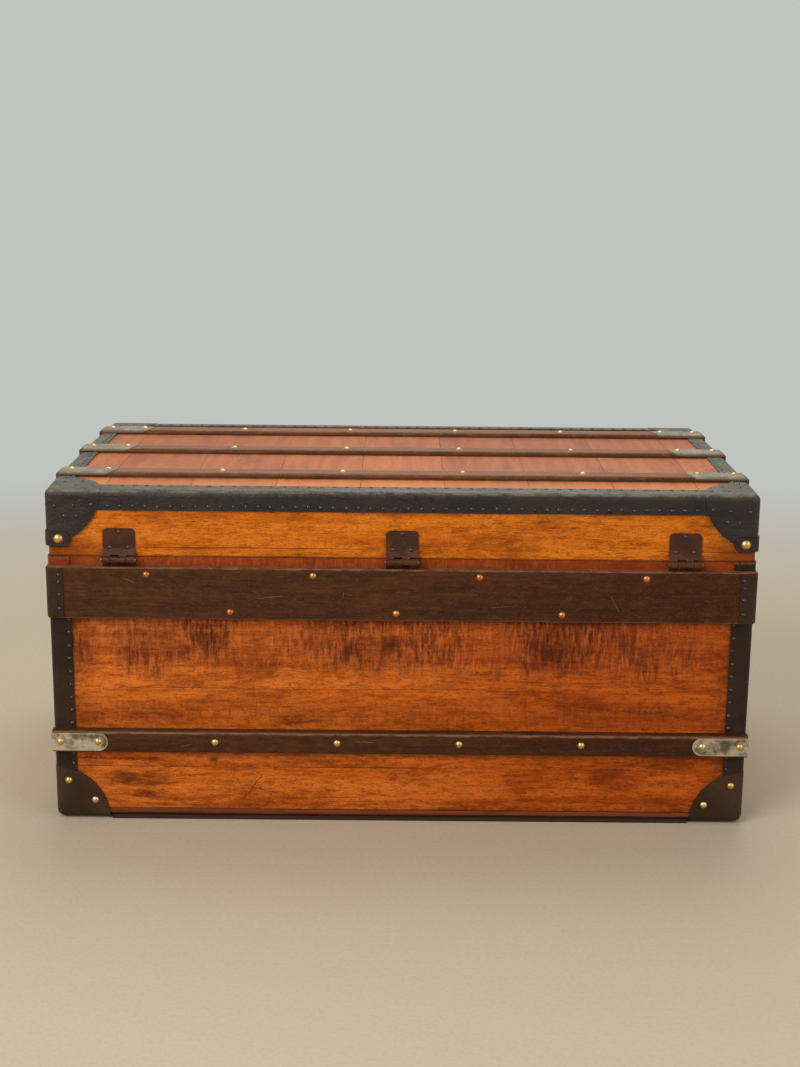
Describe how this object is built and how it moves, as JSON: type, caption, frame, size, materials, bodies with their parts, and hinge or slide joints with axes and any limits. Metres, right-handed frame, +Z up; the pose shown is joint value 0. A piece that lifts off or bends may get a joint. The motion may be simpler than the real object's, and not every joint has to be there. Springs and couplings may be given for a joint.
{
  "type": "travel trunk",
  "caption": "Low crowned wooden travel trunk with dark slats, leather bound edges, strap hinges, front hasps, a lock and end handles.",
  "frame": {"origin": "middle of the footprint, on the floor under the middle runner", "axes": "+X along the trunk, +Y towards the lock side, -Y the hinge side, +Z up"},
  "size_m": [0.941, 0.5296, 0.4556],
  "materials": {
    "amber_wood": "varnished amber pine with grain, knots and stains",
    "red_wood": "varnished reddish pine",
    "inner_wood": "plain unvarnished pine",
    "dark_wood": "dark stained hardwood, worn lighter on its edges",
    "black_binding": "blackened leather fibre, worn on its edges",
    "painted_steel": "maroon brown painted steel, chipped on its edges",
    "bare_steel": "aged bare steel",
    "zinc": "dull zinc plated steel",
    "brass": "domed brass nails, slightly tarnished",
    "iron": "black iron",
    "grip_leather": "brown stitched leather"
  },
  "bodies": {
    "trunk_body": {"back_boards": "amber_wood", "band_back": "dark_wood", "band_corner_wraps": "black_binding", "band_front": "dark_wood", "band_left": "dark_wood", "band_nails": "brass", "band_right": "dark_wood", "body_hardware_nails": "painted_steel", "bottom_boards": "amber_wood", "bottom_corner_caps": "black_binding", "bottom_corner_nails": "brass", "bottom_runners": "inner_wood", "corner_binding_back_left": "black_binding", "corner_binding_back_right": "black_binding", "corner_binding_front_left": "black_binding", "corner_binding_front_right": "black_binding", "front_boards": "amber_wood", "handle_lugs": "iron", "hinge_body_leaves": "painted_steel", "hinge_pins": "bare_steel", "left_end_boards": "amber_wood", "lock_case": "bare_steel", "lock_plate": "painted_steel", "lower_slat_back": "dark_wood", "lower_slat_front": "dark_wood", "lower_slat_nails": "brass", "right_end_boards": "amber_wood", "rim_lip": "inner_wood", "side_keepers": "painted_steel", "slat_clasps": "zinc"},
    "lid": {"lid_back_rail": "amber_wood", "lid_front_rail": "amber_wood", "lid_left_rail": "amber_wood", "lid_right_rail": "amber_wood", "lid_top_boards": "red_wood", "lid_corner_caps": "black_binding", "lid_corner_clamps": "painted_steel", "lid_binding_back": "black_binding", "lid_binding_front": "black_binding", "lid_binding_left": "black_binding", "lid_binding_right": "black_binding", "hinge_lid_leaves": "painted_steel", "top_slat_back": "dark_wood", "top_slat_middle": "dark_wood", "top_slat_front": "dark_wood", "slat_end_caps": "zinc", "hasp_brackets": "painted_steel", "hasp_pins": "bare_steel", "clamp_nails": "brass", "top_slat_nails": "brass", "lid_hardware_nails": "painted_steel"},
    "lock_hasp": {"lock_hasp": "painted_steel"},
    "left_hasp": {"left_hasp": "painted_steel"},
    "right_hasp": {"right_hasp": "painted_steel"},
    "lock_bolt": {"lock_bolt": "bare_steel"},
    "left_handle": {"left_handle": "iron", "left_handle_grip": "grip_leather"},
    "right_handle": {"right_handle": "iron", "right_handle_grip": "grip_leather"}
  },
  "joints": [
    {"name": "lid_hinge", "type": "hinge", "parent": "trunk_body", "child": "lid", "pos_m": [0, -0.257, 0.354], "axis": [1, 0, 0], "range_deg": [0, 105]},
    {"name": "lock_hasp_hinge", "type": "hinge", "parent": "lid", "child": "lock_hasp", "pos_m": [0, 0.262, 0.366], "axis": [1, 0, 0], "range_deg": [0, 110]},
    {"name": "left_hasp_hinge", "type": "hinge", "parent": "lid", "child": "left_hasp", "pos_m": [-0.3, 0.262, 0.366], "axis": [1, 0, 0], "range_deg": [0, 110]},
    {"name": "right_hasp_hinge", "type": "hinge", "parent": "lid", "child": "right_hasp", "pos_m": [0.3, 0.262, 0.366], "axis": [1, 0, 0], "range_deg": [0, 110]},
    {"name": "lock_bolt_slide", "type": "slide", "parent": "trunk_body", "child": "lock_bolt", "axis": [1, 0, 0], "range_m": [0, 0.012]},
    {"name": "left_handle_hinge", "type": "hinge", "parent": "trunk_body", "child": "left_handle", "pos_m": [-0.462, 0, 0.232], "axis": [0, 1, 0], "range_deg": [0, 95]},
    {"name": "right_handle_hinge", "type": "hinge", "parent": "trunk_body", "child": "right_handle", "pos_m": [0.462, 0, 0.232], "axis": [0, -1, 0], "range_deg": [0, 95]}
  ]
}
